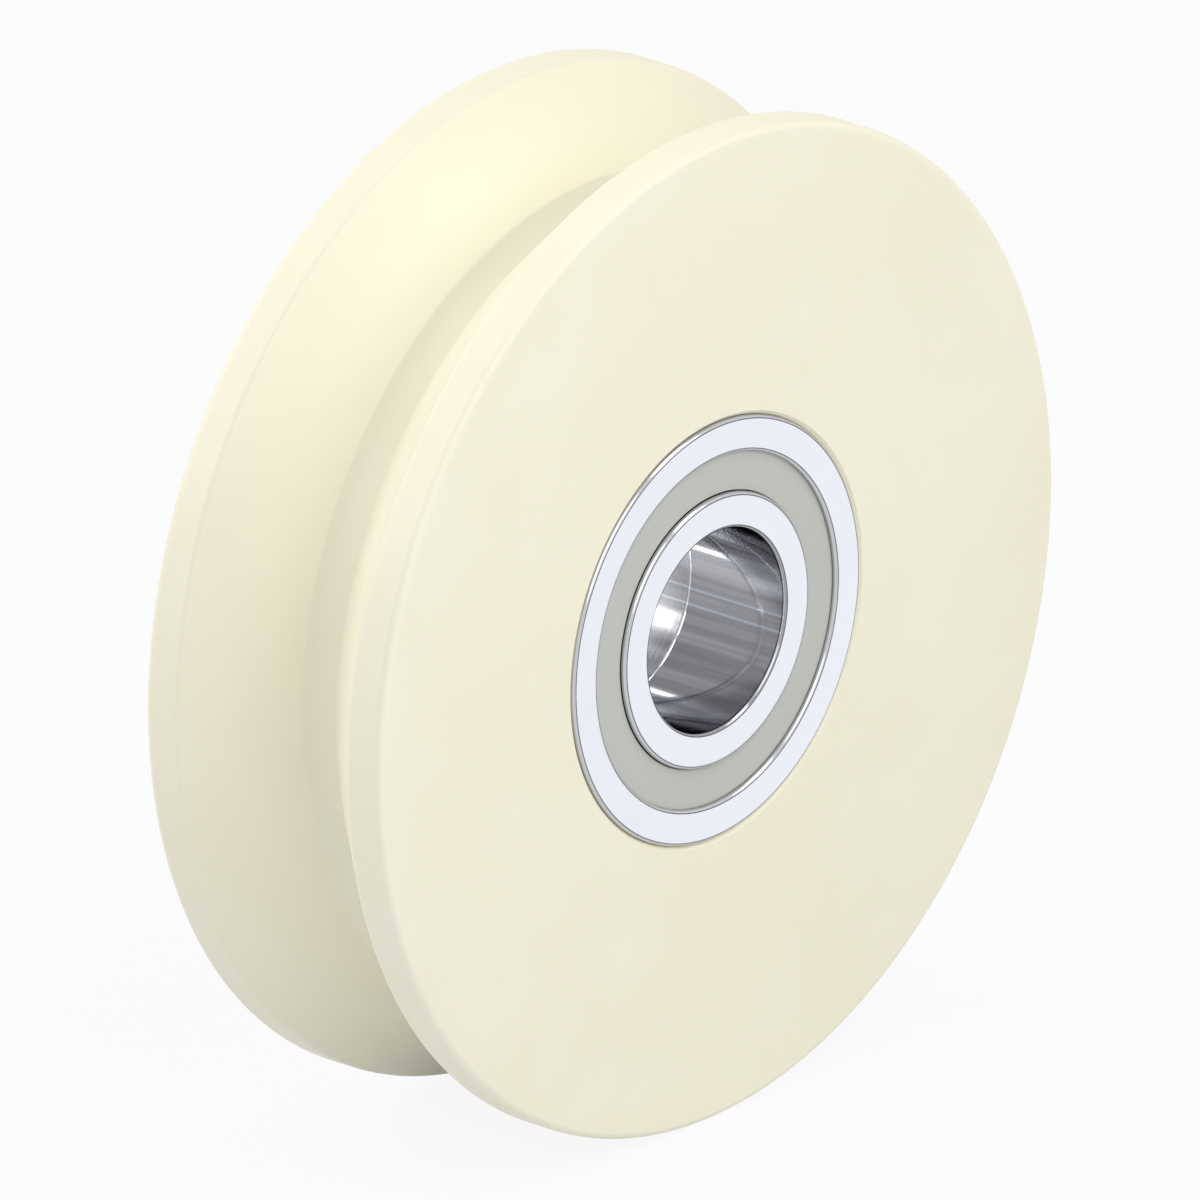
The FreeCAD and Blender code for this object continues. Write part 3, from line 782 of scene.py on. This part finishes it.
def rivet_tree():
    """Turns one rivet from its section and repeats it round the axle."""
    found = bpy.data.node_groups.get("cage_rivets")
    if found:
        return found
    tree = new_tree("cage_rivets", [
        ("Section", "NodeSocketGeometry"),
        ("Count", "NodeSocketInt"),
        ("Pitch Radius", "NodeSocketFloat"),
        ("Along", "NodeSocketFloat"),
        ("First Angle", "NodeSocketFloat"),
        ("Steps Round", "NodeSocketInt"),
        ("Finish", "NodeSocketMaterial"),
    ], "Rivets")
    given, out, circle, aim, spin, tilt, shift, shift_by, turn_ring, place, smooth, realize, paint = add_nodes(
        tree, "NodeGroupInput", "NodeGroupOutput", "GeometryNodeMeshCircle", "GeometryNodeTransform",
        "ShaderNodeCombineXYZ", "GeometryNodeTransform", "GeometryNodeTransform", "ShaderNodeCombineXYZ",
        "GeometryNodeGroup", "GeometryNodeInstanceOnPoints", "GeometryNodeSetShadeSmooth",
        "GeometryNodeRealizeInstances", "GeometryNodeSetMaterial")
    tree.links.new(given.outputs["Count"], circle.inputs["Vertices"])
    tree.links.new(given.outputs["Pitch Radius"], circle.inputs["Radius"])
    tree.links.new(given.outputs["First Angle"], spin.inputs["Z"])
    tree.links.new(spin.outputs[0], aim.inputs["Rotation"])
    tilt.inputs["Rotation"].default_value = (QUARTER_TURN, 0.0, 0.0)
    tree.links.new(given.outputs["Along"], shift_by.inputs["Y"])
    tree.links.new(shift_by.outputs[0], shift.inputs["Translation"])
    turn_ring.node_tree = turning_tree()
    tree.links.new(given.outputs["Section"], turn_ring.inputs["Section"])
    tree.links.new(given.outputs["Steps Round"], turn_ring.inputs["Steps Round"])
    turn_ring.inputs["Path Radius"].default_value = RIVET_PATH
    tree.links.new(given.outputs["Finish"], turn_ring.inputs["Finish"])
    points = link_chain(tree, circle.outputs["Mesh"], aim, tilt, shift)
    tree.links.new(turn_ring.outputs[0], place.inputs["Instance"])
    tree.links.new(given.outputs["Finish"], paint.inputs["Material"])
    rivets = link_chain(tree, points, place, smooth, realize, paint)
    tree.links.new(rivets, out.inputs[0])
    return tree


class FLANGEDWHEEL_OT_balls(PieceOperator, bpy.types.Operator):
    """Sets the balls of both bearings round their pitch circle"""

    bl_idname = "flangedwheel.balls"
    bl_label = "Set Balls"

    def execute(self, context):
        sizes = context.scene.bearing_sizes
        material = made_once("polished_steel", polished_steel, context.scene.wheel_finishes)
        for side, sign in SIDES.items():
            for number in range(BALLS_IN_BEARING):
                turn = math.tau * number / BALLS_IN_BEARING
                place = (sizes.pitch * math.sin(turn), sign * sizes.middle, sizes.pitch * math.cos(turn))
                node = f"{side}_ball_{number + 1}"
                piece = new_piece(f"{node}_polished")
                run_tree(piece, ball_tree(), Radius=sizes.ball, Place=place, Finish=material)
                settle(piece, node, node)
        return {"FINISHED"}


class FLANGEDWHEEL_OT_cages(PieceOperator, bpy.types.Operator):
    """Finishes the pressed cages and sets their rivets"""

    bl_idname = "flangedwheel.cages"
    bl_label = "Rivet Cages"

    def execute(self, context):
        sizes = context.scene.bearing_sizes
        material = made_once("pressed_steel", pressed_steel, context.scene.wheel_finishes)
        grip, head = sizes.cage_gauge, sizes.cage_gauge + sizes.rivet_head_height
        section = outline([
            (0.0, -head, None), (sizes.rivet_head, -head, sizes.rivet_head_edge),
            (sizes.rivet_head, -grip, 0.0), (sizes.rivet, -grip, 0.0),
            (sizes.rivet, grip, 0.0), (sizes.rivet_head, grip, 0.0),
            (sizes.rivet_head, head, sizes.rivet_head_edge), (0.0, head, None),
        ])
        for side, sign in SIDES.items():
            for half in ("outer", "inner"):
                paint_node(f"{side}_cage_{half}_half", material)
            piece = new_piece(f"{side}_cage_rivets_set", section, closed=False)
            run_tree(piece, rivet_tree(), Count=BALLS_IN_BEARING, Pitch_Radius=sizes.pitch,
                     Along=sign * sizes.middle, First_Angle=QUARTER_TURN + math.pi / BALLS_IN_BEARING,
                     Steps_Round=RIVET_STEPS, Finish=material)
            settle(piece, f"{side}_cage", f"{side}_cage_rivets")
        return {"FINISHED"}


def paint_node(node, material):
    """Gives a solid that stays its finish."""
    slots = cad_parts[node].data.materials
    slots.clear()
    slots.append(material)


# The stage

def floor_finish(settings):
    """A pale floor that looks white to the camera and keeps a soft shadow."""
    finish = Finish("pale_floor")
    speckle = finish.noise(finish.place, scale=60.0)
    finish.surface(Base_Color=finish.mix(speckle, settings.floor, shade(settings.floor, 0.98)), Roughness=0.9)
    output = finish.found("OUTPUT_MATERIAL")
    finish.show_white(finish.shader, output, "ShaderNodeEmission", 1 - settings.floor_shade)
    return finish.material


def light_room(world, settings):
    """White where it is seen, and an even soft light from all round."""
    world.use_nodes = True
    room = NodeWork(world.node_tree)
    background = room.found("BACKGROUND")
    room.feed(background.inputs["Color"], (1.0, 1.0, 1.0))
    room.feed(background.inputs["Strength"], settings.room_light)
    room.show_white(background, room.found("OUTPUT_WORLD"), "ShaderNodeBackground", 1.0)


def direction(azimuth, elevation):
    """Unit vector from the wheel towards a place round it and above it."""
    flat = math.cos(elevation)
    return Vector((math.sin(azimuth) * flat, -math.cos(azimuth) * flat, math.sin(elevation)))


class Lamp(NamedTuple):
    """A soft round lamp, placed by its direction from the wheel."""

    name: str
    azimuth: float      # degrees round from straight in front
    elevation: float    # degrees above level
    distance: float     # metres from the wheel's middle
    size: float         # metres across
    power: float        # watts


FLOOR_HALF = 3.0
CAMERA_DISTANCE = 0.6
LAMPS = (
    Lamp("front_lamp", azimuth=-30.0, elevation=35.0, distance=0.35, size=0.30, power=0.34),
    Lamp("right_lamp", azimuth=30.0, elevation=35.0, distance=0.70, size=0.30, power=0.70),
    Lamp("top_lamp", azimuth=30.0, elevation=62.0, distance=0.70, size=0.30, power=0.68),
    Lamp("left_lamp", azimuth=-142.0, elevation=21.0, distance=0.70, size=0.26, power=1.00),
    Lamp("back_lamp", azimuth=-170.0, elevation=35.0, distance=0.70, size=0.30, power=1.10),
)


def add_lamp(lamp):
    """Adds a lamp, aimed at the wheel."""
    data = bpy.data.lights.new(lamp.name, "AREA")
    data.shape = "DISK"
    data.size = lamp.size
    data.energy = lamp.power
    light = bpy.data.objects.new(lamp.name, data)
    bpy.context.scene.collection.objects.link(light)
    towards = direction(math.radians(lamp.azimuth), math.radians(lamp.elevation))
    light.location = towards * lamp.distance
    light.rotation_euler = towards.to_track_quat("Z", "Y").to_euler()


class FLANGEDWHEEL_OT_stage(PieceOperator, bpy.types.Operator):
    """Lays the floor, lights the room and sets the camera"""

    bl_idname = "flangedwheel.stage"
    bl_label = "Set Stage"

    def execute(self, context):
        settings = context.scene.wheel_stage
        self.lay_floor(settings)
        context.scene.world = context.scene.world or bpy.data.worlds.new("room")
        light_room(context.scene.world, settings)
        for lamp in LAMPS:
            add_lamp(lamp)
        self.set_camera(context.scene, settings)
        context.scene.view_settings.view_transform = "Standard"
        return {"FINISHED"}

    def lay_floor(self, settings):
        """A wide floor under the wheel's lowest point."""
        half, level = FLOOR_HALF, WHEEL_LOW.z
        mesh = bpy.data.meshes.new("floor")
        mesh.from_pydata([(-half, -half, level), (half, -half, level), (half, half, level), (-half, half, level)],
                         [], [(0, 1, 2, 3)])
        floor = bpy.data.objects.new("floor", mesh)
        bpy.context.scene.collection.objects.link(floor)
        mesh.materials.append(floor_finish(settings))

    def set_camera(self, scene, settings):
        """A camera without perspective, at the picture's own angle."""
        data = bpy.data.cameras.new("camera")
        data.type = "ORTHO"
        data.ortho_scale = settings.picture_width
        camera = bpy.data.objects.new("camera", data)
        scene.collection.objects.link(camera)
        back = direction(settings.azimuth, settings.elevation)
        right = Vector((math.cos(settings.azimuth), math.sin(settings.azimuth), 0.0))
        up = back.cross(right)
        camera.location = back * CAMERA_DISTANCE + right * settings.aim_right - up * settings.aim_down
        camera.rotation_euler = back.to_track_quat("Z", "Y").to_euler()
        scene.camera = camera


class VIEW3D_PT_flanged_wheel(bpy.types.Panel):
    """Lists the steps that make the wheel, and what can be changed"""

    bl_label = "Flanged Wheel"
    bl_space_type = "VIEW_3D"
    bl_region_type = "UI"
    bl_category = "Flanged Wheel"

    def draw(self, context):
        for step in STEPS:
            self.layout.operator(step.bl_idname)
        for name in SETTINGS:
            group = getattr(context.scene, name)
            box = self.layout.box()
            for key in group.__annotations__:
                box.prop(group, key)


STEPS = (
    FLANGEDWHEEL_OT_wheel, FLANGEDWHEEL_OT_rings, FLANGEDWHEEL_OT_seals, FLANGEDWHEEL_OT_sleeve,
    FLANGEDWHEEL_OT_balls, FLANGEDWHEEL_OT_cages, FLANGEDWHEEL_OT_stage,
)
SETTINGS = {
    "wheel_sizes": WheelSizes,
    "bearing_sizes": BearingSizes,
    "wheel_finishes": Finishes,
    "wheel_stage": StageSettings,
}


def register():
    """Registers the settings, the steps and the panel."""
    for name, group in SETTINGS.items():
        bpy.utils.register_class(group)
        setattr(bpy.types.Scene, name, bpy.props.PointerProperty(type=group))
    for step in STEPS:
        bpy.utils.register_class(step)
    bpy.utils.register_class(VIEW3D_PT_flanged_wheel)


def unregister():
    """Takes them out again."""
    bpy.utils.unregister_class(VIEW3D_PT_flanged_wheel)
    for step in reversed(STEPS):
        bpy.utils.unregister_class(step)
    for name, group in reversed(SETTINGS.items()):
        delattr(bpy.types.Scene, name)
        bpy.utils.unregister_class(group)


def main():
    """Makes every piece and the stage."""
    register()
    bpy.ops.flangedwheel.wheel()
    bpy.ops.flangedwheel.rings()
    bpy.ops.flangedwheel.seals()
    bpy.ops.flangedwheel.sleeve()
    bpy.ops.flangedwheel.balls()
    bpy.ops.flangedwheel.cages()
    bpy.ops.flangedwheel.stage()


if __name__ == "__main__":
    main()
